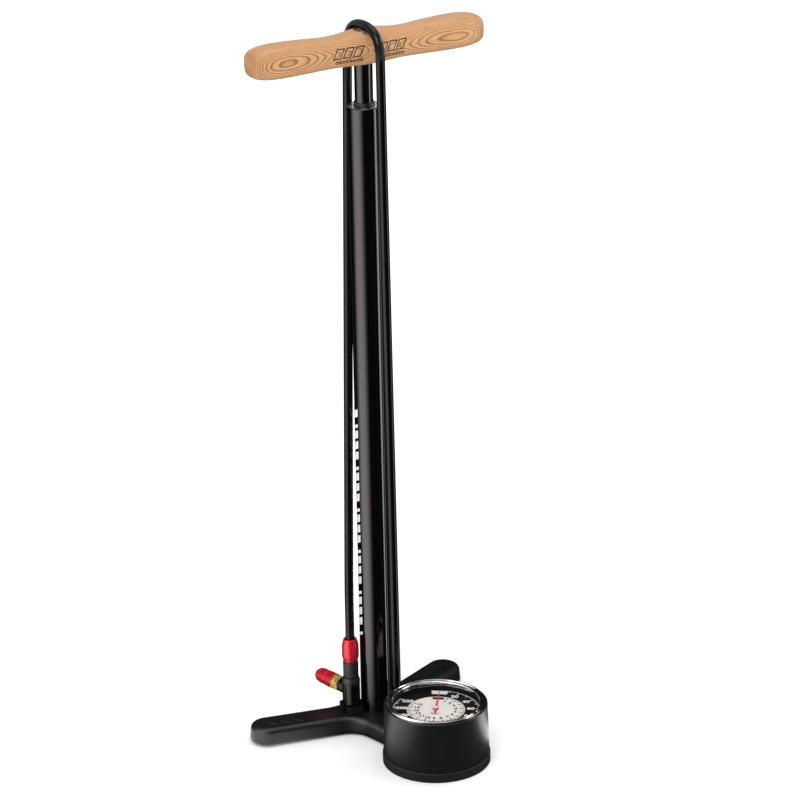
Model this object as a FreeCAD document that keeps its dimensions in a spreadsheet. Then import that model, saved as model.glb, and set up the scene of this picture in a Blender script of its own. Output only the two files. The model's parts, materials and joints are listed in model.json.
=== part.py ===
import FreeCAD, Part
import math
import os
import Sketcher

# Bicycle floor pump.  Millimetres, +Z up, the barrel's axis is the Z axis and the floor is Z = 0.
# The gauge pod stands towards -Y, and the two legs reach back to both sides.

DIMENSIONS = {
    # barrel and rod
    "barrel_outer": 15.0, "barrel_bore": 13.8, "barrel_seat": 7.0, "barrel_top": 608.0,
    "rod_radius": 8.25, "rod_bore": 6.9, "rod_bottom": 50.0, "rod_top": 655.0,
    "running_gap": 0.05, "seat_gap": 0.03,
    "cap_length": 26.0, "bush_collar": 9.3, "bush_collar_top": 611.4, "bush_bottom": 574.0, "bush_stem": 10.4,
    "plug_top": 36.0, "piston_bottom": 37.0, "piston_length": 16.0,
    # handle
    "grip_height": 661.8, "grip_length": 231.0, "grip_yaw": -7.0, "grip_shift": 2.6,
    "groove_floor": 675.2, "hose_lift": 2.0, "hose_room": 0.6,
    # base casting
    "base_bottom": 1.0, "deck": 17.7, "leg_angle": 18.3, "leg_reach": 124.0, "tip_half": 17.0,
    "root_half": 16.5, "root_reach": 42.0, "arm_half": 21.5, "hub_back": 26.0, "draft": 5.0,
    "pad_reach": 107.0, "pad_radius": 12.0,
    # gauge pod
    "pod_y": 93.7, "pod_top_r": 47.6, "pod_foot_r": 48.9, "pod_rim": 57.6, "pod_bore": 45.2,
    "skirt_r": 49.7, "skirt_top": 9.0, "skirt_seat": 47.6, "web_bottom": 19.0, "web_top": 22.0,
    "dial_yaw": -42.0, "dial_z": 50.0, "dial_r": 41.2, "inner_dial_r": 26.8,
    # gauge movement: module and teeth of the sector and the pinion
    "gear_module": 0.4, "sector_teeth": 80.0, "pinion_teeth": 10.0, "gear_bottom": 37.4, "gear_face": 1.6,
    "tube_mid": 33.0, "tube_half": 1.7, "tube_bottom": 29.0, "tube_top": 39.0,
    # hose and its ends
    "hose_radius": 4.2, "outlet_reach": 25.0, "outlet_angle": -77.5, "outlet_top": 44.0,
    "chuck_reach": 25.0, "ferrule_top": 91.6, "ferrule_bottom": 69.2, "hose_stop": 75.0,
    "grip_bottom": 53.0, "grip_r": 7.2, "collar_bottom": 46.4, "chuck_bottom": 24.9, "chuck_r": 8.3,
    "port_z": 39.4, "port_angle": 96.0, "port_r": 6.9, "port_end": 13.6, "adapter_end": 22.6,
    "slip_end": 46.9, "slip_r": 7.4, "mouth_r": 3.2, "mouth_depth": 9.0,
}

doc = FreeCAD.newDocument("floor_pump")
sheet = doc.addObject("Spreadsheet::Sheet", "Dims")
for row, (alias, number) in enumerate(DIMENSIONS.items(), 1):
    sheet.set(f"A{row}", alias)
    sheet.set(f"B{row}", str(number))
    sheet.setAlias(f"B{row}", alias)
doc.recompute()


class Size:
    """A length that carries both its value and the sheet expression that it comes from."""

    def __init__(self, value, text=None):
        self.value = float(value)
        self.text = text

    def joined(self, other, sign, value):
        other = as_size(other)
        if self.text is None and other.text is None:
            return Size(value)
        left = self.text if self.text is not None else f"{self.value:.6f}"
        right = other.text if other.text is not None else f"{other.value:.6f}"
        return Size(value, f"({left} {sign} {right})")

    def __add__(self, other):
        return self.joined(other, "+", self.value + as_size(other).value)

    def __sub__(self, other):
        return self.joined(other, "-", self.value - as_size(other).value)

    def __mul__(self, other):
        return self.joined(other, "*", self.value * as_size(other).value)

    def __truediv__(self, other):
        return self.joined(other, "/", self.value / as_size(other).value)

    def __neg__(self):
        return self * -1.0

    __radd__ = __add__
    __rmul__ = __mul__

    def __rsub__(self, other):
        return as_size(other) - self


def as_size(number):
    return number if isinstance(number, Size) else Size(number)


class Driving:
    """The driving dimensions as sizes, one attribute for each alias of the sheet."""

    def __init__(self, numbers):
        for alias, number in numbers.items():
            setattr(self, alias, Size(number, f"Dims.{alias}"))


D = Driving(DIMENSIONS)
SUBPARTS = []
UP = FreeCAD.Vector(0, 0, 1)


def bind(thing, path, size):
    """Bind one property of an object to a size."""
    size = as_size(size)
    thing.setExpression(path, size.text if size.text is not None else f"{size.value:.6f}")


def placed(thing, x=0.0, y=0.0, z=0.0, turn=None):
    """Put an object at a point; turn is a rotation."""
    if turn is not None:
        thing.Placement = FreeCAD.Placement(FreeCAD.Vector(), turn)
    for axis, size in (("x", x), ("y", y), ("z", z)):
        bind(thing, f"Placement.Base.{axis}", size)
    return thing


def kept(thing):
    """Count an object as one of the pump's separate pieces."""
    SUBPARTS.append(thing)
    return thing


# ---------------------------------------------------------------- outlines and turned or padded pieces

def vertices(corners):
    """The outline's points.  A corner (x, y, radius) is rounded by an arc to the next point."""
    points = []
    count = len(corners)
    flat = [(as_size(c[0]), as_size(c[1])) for c in corners]
    for i, corner in enumerate(corners):
        x, y = flat[i]
        if len(corner) == 2:
            points.append((x, y, None, None))
            continue
        radius = as_size(corner[2])
        here = FreeCAD.Vector(x.value, y.value, 0)
        before = FreeCAD.Vector(flat[i - 1][0].value, flat[i - 1][1].value, 0) - here
        after = FreeCAD.Vector(flat[(i + 1) % count][0].value, flat[(i + 1) % count][1].value, 0) - here
        half = before.getAngle(after) / 2
        before.normalize()
        after.normalize()
        reach = radius * (1 / math.tan(half))
        middle = before + after
        middle.normalize()
        centre = here + middle * (radius.value / math.sin(half))
        points.append((x + reach * before.x, y + reach * before.y, radius, centre))
        points.append((x + reach * after.x, y + reach * after.y, None, None))
    return points


def draw(sketch, corners):
    """Draw a closed outline in a sketch and bind every point and arc of it to the sheet."""
    points = vertices(corners)
    first = sketch.GeometryCount
    ends, rules, bound = [], [], []
    for i, (x, y, radius, centre) in enumerate(points):
        nx, ny = points[(i + 1) % len(points)][:2]
        start, finish = FreeCAD.Vector(x.value, y.value, 0), FreeCAD.Vector(nx.value, ny.value, 0)
        if radius is None:
            sketch.addGeometry(Part.LineSegment(start, finish), False)
            ends.append((1, 2))
            continue
        a, b = start - centre, finish - centre
        left = (a.x * b.y - a.y * b.x) > 0
        low, high = (a, b) if left else (b, a)
        circle = Part.Circle(centre, UP, radius.value)
        from_angle, to_angle = math.atan2(low.y, low.x), math.atan2(high.y, high.x)
        sketch.addGeometry(Part.ArcOfCircle(circle, from_angle, to_angle), False)
        ends.append((1, 2) if left else (2, 1))
        rules.append(Sketcher.Constraint("Radius", first + i, radius.value))
        bound.append((len(rules) - 1, radius))
    for i, (x, y, radius, centre) in enumerate(points):
        geo, pos = first + i, ends[i][0]
        after = (i + 1) % len(points)
        rules.append(Sketcher.Constraint("Coincident", geo, ends[i][1], first + after, ends[after][0]))
        for name, size, axis in (("DistanceX", x, -2), ("DistanceY", y, -1)):
            if size.text is None and abs(size.value) < 1e-9:
                rules.append(Sketcher.Constraint("PointOnObject", geo, pos, axis))
                continue
            rules.append(Sketcher.Constraint(name, -1, 1, geo, pos, size.value))
            bound.append((len(rules) - 1, size))
    offset = sketch.ConstraintCount
    sketch.addConstraint(rules)
    for index, size in bound:
        if size.text is not None:
            sketch.setExpression(f"Constraints[{offset + index}]", size.text)


def hole(sketch, x, y, radius):
    """Draw a circle in a sketch."""
    x, y, radius = as_size(x), as_size(y), as_size(radius)
    geo = sketch.addGeometry(Part.Circle(FreeCAD.Vector(x.value, y.value, 0), UP, radius.value), False)
    for name, size, axis in (("DistanceX", x, -2), ("DistanceY", y, -1)):
        if size.text is None and abs(size.value) < 1e-9:
            sketch.addConstraint(Sketcher.Constraint("PointOnObject", geo, 3, axis))
            continue
        index = sketch.addConstraint(Sketcher.Constraint(name, -1, 1, geo, 3, size.value))
        if size.text is not None:
            sketch.setExpression(f"Constraints[{index}]", size.text)
    index = sketch.addConstraint(Sketcher.Constraint("Radius", geo, radius.value))
    if radius.text is not None:
        sketch.setExpression(f"Constraints[{index}]", radius.text)


def plane_of(body, role):
    return next(o for o in body.Origin.OriginFeatures if o.Role == role)


def sketch_on(body, role, name, offset=None):
    """A sketch on one of the body's own planes; offset is (direction, size) along that plane's normal."""
    sketch = body.newObject("Sketcher::SketchObject", name)
    sketch.AttachmentSupport = [(plane_of(body, role), "")]
    sketch.MapMode = "FlatFace"
    if offset is not None:
        bind(sketch, "AttachmentOffset.Base.z", offset)
    return sketch


def new_body(label):
    body = doc.addObject("PartDesign::Body", label)
    body.Label = label
    return body


def turned(label, corners, angle=360.0):
    """A piece turned about Z: corners are (radius, height)."""
    body = new_body(label)
    sketch = sketch_on(body, "XZ_Plane", f"{label}_outline")
    draw(sketch, corners)
    turn = body.newObject("PartDesign::Revolution", f"{label}_turned")
    turn.Profile = sketch
    turn.ReferenceAxis = (sketch, ["V_Axis"])
    turn.Angle = angle
    sketch.Visibility = False
    return body


def pad(body, name, corners, length, low=0.0, circles=(), taper=0.0):
    """Add a prism that stands on the plane at height low."""
    sketch = sketch_on(body, "XY_Plane", f"{name}_outline", low)
    if corners:
        draw(sketch, corners)
    for circle in circles:
        hole(sketch, *circle)
    feature = body.newObject("PartDesign::Pad", name)
    feature.Profile = sketch
    bind(feature, "Length", length)
    if taper:
        feature.TaperAngle = taper
    sketch.Visibility = False
    return feature


def pocket(body, name, corners, length, low, circles=()):
    """Cut a prism that reaches up from height low."""
    sketch = sketch_on(body, "XY_Plane", f"{name}_outline", low)
    if corners:
        draw(sketch, corners)
    for circle in circles:
        hole(sketch, *circle)
    feature = body.newObject("PartDesign::Pocket", name)
    feature.Profile = sketch
    bind(feature, "Length", length)
    feature.Reversed = True
    sketch.Visibility = False
    return feature


def rounded_edges(body, name, radius, wanted):
    """Fillet the edges of the body's tip that pass the test."""
    doc.recompute()
    tip = body.Tip
    names = [f"Edge{i}" for i, edge in enumerate(tip.Shape.Edges, 1) if wanted(edge)]
    feature = body.newObject("PartDesign::Fillet", name)
    feature.Base = (tip, names)
    bind(feature, "Radius", radius)
    return feature


def plate(label, corners, thickness, circles=()):
    body = new_body(label)
    pad(body, f"{label}_pad", corners, thickness, 0.0, circles)
    return body


def tube(label, outer, inner, low, high, x=0.0, y=0.0):
    """A plain upright tube or ring between two heights."""
    body = plate(label, None, as_size(high) - low, [(0, 0, outer), (0, 0, inner)])
    return placed(body, x, y, low)


def cylinder(name, radius, length, x=0.0, y=0.0, z=0.0, turn=None):
    """A Part cylinder for the boolean pieces."""
    thing = doc.addObject("Part::Cylinder", name)
    bind(thing, "Radius", radius)
    bind(thing, "Height", length)
    return placed(thing, x, y, z, turn)


def block(name, sides, x=0.0, y=0.0, z=0.0, turn=None):
    thing = doc.addObject("Part::Box", name)
    for path, size in zip(("Length", "Width", "Height"), sides):
        bind(thing, path, size)
    return placed(thing, x, y, z, turn)


def hex_bar(name, radius, length, x=0.0, y=0.0, z=0.0):
    thing = doc.addObject("Part::Prism", name)
    thing.Polygon = 6
    bind(thing, "Circumradius", radius)
    bind(thing, "Height", length)
    return placed(thing, x, y, z)


def fused(label, shapes):
    thing = doc.addObject("Part::MultiFuse", label)
    thing.Shapes = shapes
    thing.Label = label
    return thing


def cut(label, base, tools):
    """The base less all the tools."""
    tool = tools[0] if len(tools) == 1 else fused(f"{label}_tools", tools)
    thing = doc.addObject("Part::Cut", label)
    thing.Base = base
    thing.Tool = tool
    thing.Label = label
    return thing


def shaped(label, shape):
    """A piece whose shape is made by Part's own functions."""
    thing = doc.addObject("Part::Feature", label)
    thing.Shape = shape
    thing.Label = label
    return thing


def about_z(degrees):
    return FreeCAD.Rotation(UP, degrees)


def along(degrees):
    """A rotation that lays the Z axis level, pointing at an angle from +X."""
    return about_z(degrees).multiply(FreeCAD.Rotation(FreeCAD.Vector(0, 1, 0), 90))


def polar(reach, degrees):
    """A point at a reach and an angle from +X, as two sizes."""
    return reach * math.cos(math.radians(degrees)), reach * math.sin(math.radians(degrees))


# ---------------------------------------------------------------- where the side pieces stand

LEFT_LEG = 180.0 - D.leg_angle.value
RIGHT_LEG = D.leg_angle.value
OUTLET = D.outlet_angle.value
OUTLET_X, OUTLET_Y = polar(D.outlet_reach, OUTLET)
CHUCK_X, CHUCK_Y = polar(D.chuck_reach, LEFT_LEG)
POD_Y = -D.pod_y
COVER_SCREW_ANGLES = (90.0, 210.0, 330.0)
COVER_SCREW_REACH = 34.0
STEM_REACH = 24.0
AIR_HEIGHT = 11.5
TUBE_TIP, TUBE_ROOT = 22.0, 259.8


def casting_blank():
    """Hub, two legs and the arm in one drafted plate, the pod's wall, and the bores cut in them."""
    body = new_body("base_casting_blank")
    height = D.deck - D.base_bottom

    def on_leg(angle, reach, across):
        x, y = polar(reach, angle)
        side_x, side_y = polar(across, angle + 90)
        return x + side_x, y + side_y

    root, tip, reach = D.root_half, D.tip_half, D.leg_reach
    outline = [
        (*on_leg(RIGHT_LEG, reach, -tip), 16.4), (*on_leg(RIGHT_LEG, reach, tip), 16.4),
        (*on_leg(RIGHT_LEG, D.root_reach, root), 40.0), (D.hub_back * 0.5, D.hub_back, 12.0),
        (-(D.hub_back * 0.5), D.hub_back, 12.0), (*on_leg(LEFT_LEG, D.root_reach, -root), 40.0),
        (*on_leg(LEFT_LEG, reach, -tip), 16.4), (*on_leg(LEFT_LEG, reach, tip), 16.4),
        (*on_leg(LEFT_LEG, D.root_reach * 0.6, root), 22.0), (-D.arm_half, -D.pod_y * 0.75),
        (D.arm_half, -D.pod_y * 0.75), (*on_leg(RIGHT_LEG, D.root_reach * 0.6, -root), 22.0),
    ]
    pad(body, "legs", outline, height, D.base_bottom, taper=-D.draft.value)

    def on_top(edge):
        return all(abs(v.Z - D.deck.value) < 1e-3 for v in edge.Vertexes)

    def on_underside(edge):
        return all(abs(v.Z - D.base_bottom.value) < 1e-3 for v in edge.Vertexes)

    rounded_edges(body, "leg_edges", 5.0, on_top)
    rounded_edges(body, "foot_edges", 3.0, on_underside)

    wall = sketch_on(body, "XZ_Plane", "pod_outline", D.pod_y)
    draw(wall, [
        (0, D.base_bottom), (D.skirt_seat, D.base_bottom), (D.skirt_seat, D.skirt_top),
        (D.pod_foot_r, D.skirt_top), (D.pod_top_r, D.pod_rim, 0.7), (D.pod_bore - 0.2, D.pod_rim),
        (D.pod_bore - 0.2, D.web_top), (0, D.web_top),
    ])
    pod = body.newObject("PartDesign::Revolution", "pod_wall")
    pod.Profile = wall
    pod.ReferenceAxis = (wall, ["V_Axis"])
    pod.Angle = 360.0
    pocket(body, "pod_upper", None, D.pod_rim, D.web_top, [(0, POD_Y, D.pod_bore)])
    pocket(body, "pod_lower", None, D.web_bottom - D.base_bottom + 1.0, D.base_bottom - 1.0,
           [(0, POD_Y, D.pod_bore)])
    pocket(body, "stem_hole", None, 20.0, D.web_bottom - 1.0, [(*pod_point(STEM_REACH, 180.0), 5.2)])
    bosses = [(*pod_point(COVER_SCREW_REACH, a), 4.2) for a in COVER_SCREW_ANGLES]
    pad(body, "cover_bosses", None, D.web_bottom - 5.6, 5.6, bosses)
    pocket(body, "boss_holes", None, 10.0, 5.6, [(x, y, 1.5) for x, y, r in bosses])
    pocket(body, "barrel_socket", None, D.deck, D.barrel_seat, [(0, 0, D.barrel_outer + D.seat_gap)])
    pocket(body, "bolt_hole", None, D.deck, 0.0, [(0, 0, 4.2)])
    pocket(body, "bolt_head_hole", None, 4.1, 0.0, [(0, 0, 8.2)])
    pocket(body, "outlet_hole", None, 10.0, 10.0, [(OUTLET_X, OUTLET_Y, 2.0)])
    pads = [(*polar(D.pad_reach, angle), D.pad_radius) for angle in (LEFT_LEG, RIGHT_LEG)]
    pocket(body, "pad_recess", None, 3.0 + 1.0, D.base_bottom - 1.0, pads)
    screw_x, screw_y = dock_point(5.0, 0.0)
    pocket(body, "dock_screw_hole", None, 30.0, 0.0, [(screw_x, screw_y, 1.6)])
    pocket(body, "dock_screw_head_hole", None, 12.0, 0.0, [(screw_x, screw_y, 3.2)])
    for name, angle in (("left", LEFT_LEG), ("right", RIGHT_LEG)):
        low, high, half = 48.0, 88.0, 9.0
        corners = [(*on_leg(angle, r, a), 4.0) for r, a in
                   ((low, -half), (high, -half), (high, half), (low, half))]
        pocket(body, f"{name}_leg_hollow", corners, 12.0 + 1.0, D.base_bottom - 1.0)
        for step in range(3):
            start = 74.0 + 12.0 * step
            chevron = [on_leg(angle, start + along_leg, across) for along_leg, across in
                       ((0, 6.8), (2.6, 6.8), (11.0, 0), (2.6, -6.8), (0, -6.8), (8.4, 0))]
            pocket(body, f"{name}_chevron_{step}", chevron, 2.0, D.deck - 0.9)
        for side in (-1, 1):
            slot = [on_leg(angle, r, side * a) for r, a in ((48, 4.8), (72, 4.8), (72, 6.0), (48, 6.0))]
            pocket(body, f"{name}_slot_{'near' if side < 0 else 'far'}", slot, 2.0, D.deck - 0.9)
    return body


def pod_point(reach, degrees):
    """A point in the gauge pod, at a reach from its centre and an angle from the dial's twelve."""
    x, y = polar(as_size(reach), 90.0 + D.dial_yaw.value + degrees)
    return x, y + POD_Y


def dock_point(outward, across):
    """A point by the chuck's axis: outward along the left leg, and across it."""
    x, y = polar(as_size(outward), LEFT_LEG)
    side_x, side_y = polar(as_size(across), LEFT_LEG + 90)
    return CHUCK_X + x + side_x, CHUCK_Y + y + side_y


def radial_bore(name, length, radius, height, start=0.0):
    """A level cylinder from the axis towards the hose outlet."""
    return cylinder(name, radius, length, *polar(as_size(start), OUTLET), z=height, turn=along(OUTLET))


def base_group():
    drilling = radial_bore("air_drilling", 52.0, 1.5, AIR_HEIGHT, start=12.0)
    kept(cut("base_casting", casting_blank(), [drilling]))
    for side, angle in (("left", LEFT_LEG), ("right", RIGHT_LEG)):
        pad_body = turned(f"foot_pad_{side}", [
            (0, 0), (D.pad_radius - 0.6, 0, 0.5), (D.pad_radius - 0.1, 3.9), (0, 3.9)])
        kept(placed(pad_body, *polar(D.pad_reach, angle)))
    skirt_rim = D.skirt_top - 0.1
    skirt = turned("pod_skirt_blank", [
        (42.5, 0), (D.skirt_r - 0.5, 0), (D.skirt_r, 0.5), (D.skirt_r, skirt_rim - 0.5),
        (D.skirt_r - 0.5, skirt_rim), (D.skirt_seat + 0.1, skirt_rim), (D.skirt_seat + 0.1, 0.9),
        (42.5, 0.9)])
    arm_gap = D.arm_half + 3.2
    notch = block("skirt_notch", (arm_gap * 2, D.pod_y * 0.5, D.deck), -arm_gap, -(D.pod_y * 0.7), 0.9)
    kept(cut("pod_skirt", placed(skirt, y=POD_Y), [notch]))
    cover = plate("pod_cover", None, 3.0, [(0, 0, D.pod_bore - 0.4)] + [
        (*polar(as_size(COVER_SCREW_REACH), 90.0 + D.dial_yaw.value + a), 1.7) for a in COVER_SCREW_ANGLES])
    kept(placed(cover, y=POD_Y, z=2.5))
    screws = []
    for index, angle in enumerate(COVER_SCREW_ANGLES):
        x, y = pod_point(COVER_SCREW_REACH, angle)
        shank = cylinder(f"cover_screw_shank_{index}", 1.4, 9.0, x, y, 2.3)
        head = cylinder(f"cover_screw_head_{index}", 3.0, 1.3, x, y, 1.1)
        screws.append(fused(f"cover_screw_{index}", [head, shank]))
    kept(fused("cover_screws", screws))


# ---------------------------------------------------------------- barrel and check valve

def barrel_group():
    blank = turned("barrel_blank", [
        (D.barrel_bore, D.barrel_seat), (D.barrel_outer, D.barrel_seat),
        (D.barrel_outer, D.barrel_top, 0.8), (D.barrel_bore, D.barrel_top)])
    kept(cut("barrel", blank, [radial_bore("barrel_port", 20.0, 1.6, AIR_HEIGHT)]))

    cap_low = D.barrel_top - D.cap_length
    stem = D.bush_stem + D.seat_gap
    kept(turned("barrel_cap", [
        (stem, cap_low), (D.barrel_bore - D.seat_gap, cap_low),
        (D.barrel_bore - D.seat_gap, D.barrel_top - 0.9), (D.barrel_bore - 0.8, D.barrel_top - 0.1),
        (D.bush_collar + 0.6, D.barrel_top - 0.1), (stem, D.barrel_top - 0.7)]))

    bore = D.rod_radius + D.running_gap
    seal_low, seal_high = 596.0, 600.0
    kept(turned("rod_bushing", [
        (bore, D.bush_bottom), (D.bush_stem, D.bush_bottom), (D.bush_stem, D.barrel_top - 0.8),
        (D.bush_collar, D.barrel_top - 0.8), (D.bush_collar, D.bush_collar_top, 0.6),
        (bore, D.bush_collar_top), (bore, seal_high + 0.1), (9.7, seal_high + 0.1),
        (9.7, seal_low - 0.1), (bore, seal_low - 0.1)]))
    kept(turned("wiper_seal", [
        (bore - 0.02, seal_low + 2.6), (bore + 0.5, seal_low + 1.2), (bore + 0.5, seal_low), (9.65, seal_low),
        (9.65, seal_high), (bore + 0.5, seal_high), (bore - 0.02, seal_low + 3.4)]))

    groove_low, groove_high, groove_r = 20.0, 23.0, 11.4
    outer = D.barrel_bore - D.seat_gap
    blank = turned("barrel_plug_blank", [
        (2.6, 30.0), (2.6, 26.0), (5.2, 24.4), (5.2, 14.0), (2.0, 14.0), (2.0, D.barrel_seat + 3.2),
        (0, D.barrel_seat + 3.2), (0, D.barrel_seat), (outer, D.barrel_seat), (outer, groove_low),
        (groove_r, groove_low), (groove_r, groove_high), (outer, groove_high), (outer, D.plug_top, 0.8),
        (4.6, D.plug_top), (4.6, 30.0)])
    bolt_hole = cylinder("plug_bolt_hole", 3.0, 3.0, z=6.0)
    kept(cut("barrel_plug", blank, [radial_bore("plug_port", 16.0, 1.6, AIR_HEIGHT), bolt_hole]))
    kept(turned("plug_o_ring", [
        (groove_r + 0.1, groove_low + 0.2, 0.9), (outer - 0.1, groove_low + 0.2, 0.9),
        (outer - 0.1, groove_high - 0.2, 0.9), (groove_r + 0.1, groove_high - 0.2, 0.9)]))
    kept(turned("base_bolt", [
        (0, 1.1), (7.4, 1.1, 0.6), (7.4, 4.0), (2.9, 4.0), (2.9, 8.9), (0, 8.9)]))

    kept(turned("check_valve_poppet", [
        (0, 18.4), (4.6, 18.4), (4.6, 24.45), (2.2, 25.93), (2.2, 29.4), (0, 29.4)]))
    kept(turned("valve_retainer", [
        (2.7, 31.0), (4.5, 31.0), (4.5, 33.4), (2.7, 33.4)]))
    coil = Part.makeHelix(1.5, 3.6, 3.3)
    start = FreeCAD.Vector(3.3, 0, 0)
    ring = Part.Wire(Part.makeCircle(0.32, start, FreeCAD.Vector(0, 1, 0)))
    spring = Part.Wire(coil.Edges).makePipeShell([ring], True, True)
    kept(placed(shaped("valve_spring", spring), z=14.4))


# ---------------------------------------------------------------- rod, piston and handle

def piston_group():
    low = D.piston_bottom
    seal_low, seal_high = low + 3.0, low + 7.0
    ring_low, ring_high = low + 9.5, low + 13.5
    outer, seat = D.barrel_bore - 0.3, 10.8
    kept(turned("piston_head", [
        (3.1, low), (outer, low, 0.6), (outer, seal_low), (seat, seal_low), (seat, seal_high),
        (outer, seal_high), (outer, ring_low), (12.2, ring_low), (12.2, ring_high), (outer, ring_high),
        (outer, low + D.piston_length, 0.5), (D.rod_radius + 0.1, low + D.piston_length),
        (D.rod_radius + 0.1, D.rod_bottom - 0.1), (3.1, D.rod_bottom - 0.1)]))
    kept(turned("piston_seal", [
        (seat + 0.1, seal_low + 0.1), (D.barrel_bore - 0.9, seal_low + 0.1),
        (D.barrel_bore - D.running_gap, seal_low + 1.4), (D.barrel_bore - D.running_gap, seal_high - 0.5),
        (D.barrel_bore - 0.5, seal_high - 0.1), (seat + 0.1, seal_high - 0.1)]))
    kept(tube("piston_guide_ring", D.barrel_bore - D.running_gap, 12.3, ring_low + 0.1, ring_high - 0.1))
    kept(tube("piston_rod", D.rod_radius, D.rod_bore, D.rod_bottom, D.rod_top))
    kept(turned("rod_foot_plug", [
        (3.1, D.rod_bottom + 0.1), (D.rod_bore - 0.03, D.rod_bottom + 0.1), (D.rod_bore - 0.03, 66.0, 0.5),
        (3.1, 66.0)]))
    kept(turned("piston_bolt", [
        (0, low + 0.6), (2.95, low + 0.6), (2.95, 67.5), (6.0, 67.5), (6.0, 71.5, 0.8), (0, 71.5)]))
    kept(turned("rod_bumper", [
        (D.rod_radius + 0.1, low + D.piston_length + 0.1), (12.6, low + D.piston_length + 0.1, 1.4),
        (12.6, low + D.piston_length + 7.0, 1.4), (D.rod_radius + 0.1, low + D.piston_length + 7.0)]))
    kept(turned("rod_top_plug", [
        (3.1, 636.0), (D.rod_bore - 0.03, 636.0), (D.rod_bore - 0.03, D.rod_top - 0.1),
        (3.1, D.rod_top - 0.1)]))
    kept(turned("handle_washer", [(3.2, 668.0), (7.6, 668.0), (7.6, 669.0), (3.2, 669.0)]))
    kept(turned("handle_bolt", [
        (0, 640.0), (2.95, 640.0), (2.95, 669.1), (7.9, 669.1), (7.9, 671.6, 1.6), (5.2, 674.9, 2.2),
        (0, 674.9)]))
    kept(handle())


def grip_section(station, height, depth, rise):
    """A rounded rectangle across the handle at a station along it."""
    corner = 0.78
    half_h, half_d = height / 2, depth / 2
    round_by = corner * min(half_h, half_d)
    flat_h, flat_d = half_h - round_by, half_d - round_by
    sine = math.sin(math.radians(45)) * round_by
    point = [FreeCAD.Vector(station, y, z + rise) for y, z in (
        (half_d, -flat_h), (half_d, flat_h), (flat_d + sine, flat_h + sine), (flat_d, half_h),
        (-flat_d, half_h), (-flat_d - sine, flat_h + sine), (-half_d, flat_h), (-half_d, -flat_h),
        (-flat_d - sine, -flat_h - sine), (-flat_d, -half_h), (flat_d, -half_h),
        (flat_d + sine, -flat_h - sine))]
    edges = []
    for i in (0, 3, 6, 9):
        edges.append(Part.LineSegment(point[i], point[i + 1]).toShape())
        edges.append(Part.Arc(point[i + 1], point[(i + 2) % 12], point[(i + 3) % 12]).toShape())
    return Part.Wire(edges)


def handle():
    """A wooden grip with a full middle, two waists and two lobes, bored for the rod, grooved for the hose."""
    end = sheet.grip_length / 2
    ends = ((end, 15.0, 16.0, 0.0), (end - 1.6, 20.6, 22.5, 0.0), (end - 5.5, 25.0, 27.2, 0.0),
            (end - 14.0, 28.6, 30.6, 0.0), (end - 28.0, 30.2, 31.6, 0.0), (end - 50.0, 29.4, 30.2, -0.2),
            (end - 82.0, 27.6, 27.4, -0.7))
    middle = (0.0, 32.0, 31.0, 0.3)
    row = [(-x, *rest) for x, *rest in ends] + [middle] + [(x, *rest) for x, *rest in reversed(ends)]
    wood = Part.makeLoft([grip_section(x + sheet.grip_shift, *rest) for x, *rest in row], True, False)
    rise = sheet.grip_height
    bore = rod_at(0, 0, 630 - rise, sheet.rod_top + 0.2 - rise, sheet.rod_radius + 0.05)
    shank = rod_at(0, 0, 640 - rise, 680 - rise, 3.1)
    seat = rod_at(0, 0, 667.9 - rise, 688 - rise, 8.3)
    gutter_r = sheet.hose_radius + 0.9
    gutter = Part.makeCylinder(gutter_r, 60, FreeCAD.Vector(0, -30, sheet.groove_floor + gutter_r - rise),
                               FreeCAD.Vector(0, 1, 0))
    front, back = hose_route()[1:3]
    crossing = math.degrees(math.atan2(front.x - back.x, back.y - front.y))
    yaw_back = about_z(crossing - sheet.grip_yaw)
    gutter.Placement = FreeCAD.Placement(FreeCAD.Vector(), yaw_back).multiply(gutter.Placement)
    room = swept(hose_route(), sheet.hose_radius + sheet.hose_room)[0]
    room.translate(FreeCAD.Vector(0, 0, -rise))
    room.rotate(FreeCAD.Vector(), UP, -sheet.grip_yaw)
    solid = wood.cut([bore, shank, seat, gutter, room])
    wooden = shaped("handle_grip", solid)
    wooden.Placement = FreeCAD.Placement(FreeCAD.Vector(0, 0, rise), about_z(sheet.grip_yaw))
    return wooden


# ---------------------------------------------------------------- gauge

def gear_outline(teeth, module, first, count, inner, addendum=0.8, dedendum=1.05):
    """Points of a row of slim gear teeth: first is the angle of the first tooth's middle, in degrees."""
    pitch_r = module * teeth / 2
    pitch_arc = math.pi * module
    root_r, tip_r = pitch_r - dedendum * module, pitch_r + addendum * module
    step = 360.0 / teeth
    points = []
    for k in range(count):
        middle = math.radians(first + k * step)
        for radius, half in ((root_r, -0.25), (pitch_r, -0.19), (tip_r, -0.08),
                             (tip_r, 0.08), (pitch_r, 0.19), (root_r, 0.25)):
            angle = middle + half * pitch_arc / radius
            points.append(FreeCAD.Vector(radius * math.cos(angle), radius * math.sin(angle), 0))
    if inner is not None:
        last = math.radians(first + (count - 1) * step + step)
        start = math.radians(first - step)
        points.append(FreeCAD.Vector(root_r * math.cos(last), root_r * math.sin(last), 0))
        points.append(FreeCAD.Vector(inner * math.cos(last), inner * math.sin(last), 0))
        points.append(FreeCAD.Vector(inner * math.cos(start), inner * math.sin(start), 0))
        points.append(FreeCAD.Vector(root_r * math.cos(start), root_r * math.sin(start), 0))
    return points


def prism(points, low, high):
    """A prism over a closed polygon."""
    face = Part.Face(Part.makePolygon(points + [points[0]]))
    face.translate(FreeCAD.Vector(0, 0, low))
    return face.extrude(FreeCAD.Vector(0, 0, high - low))


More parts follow.
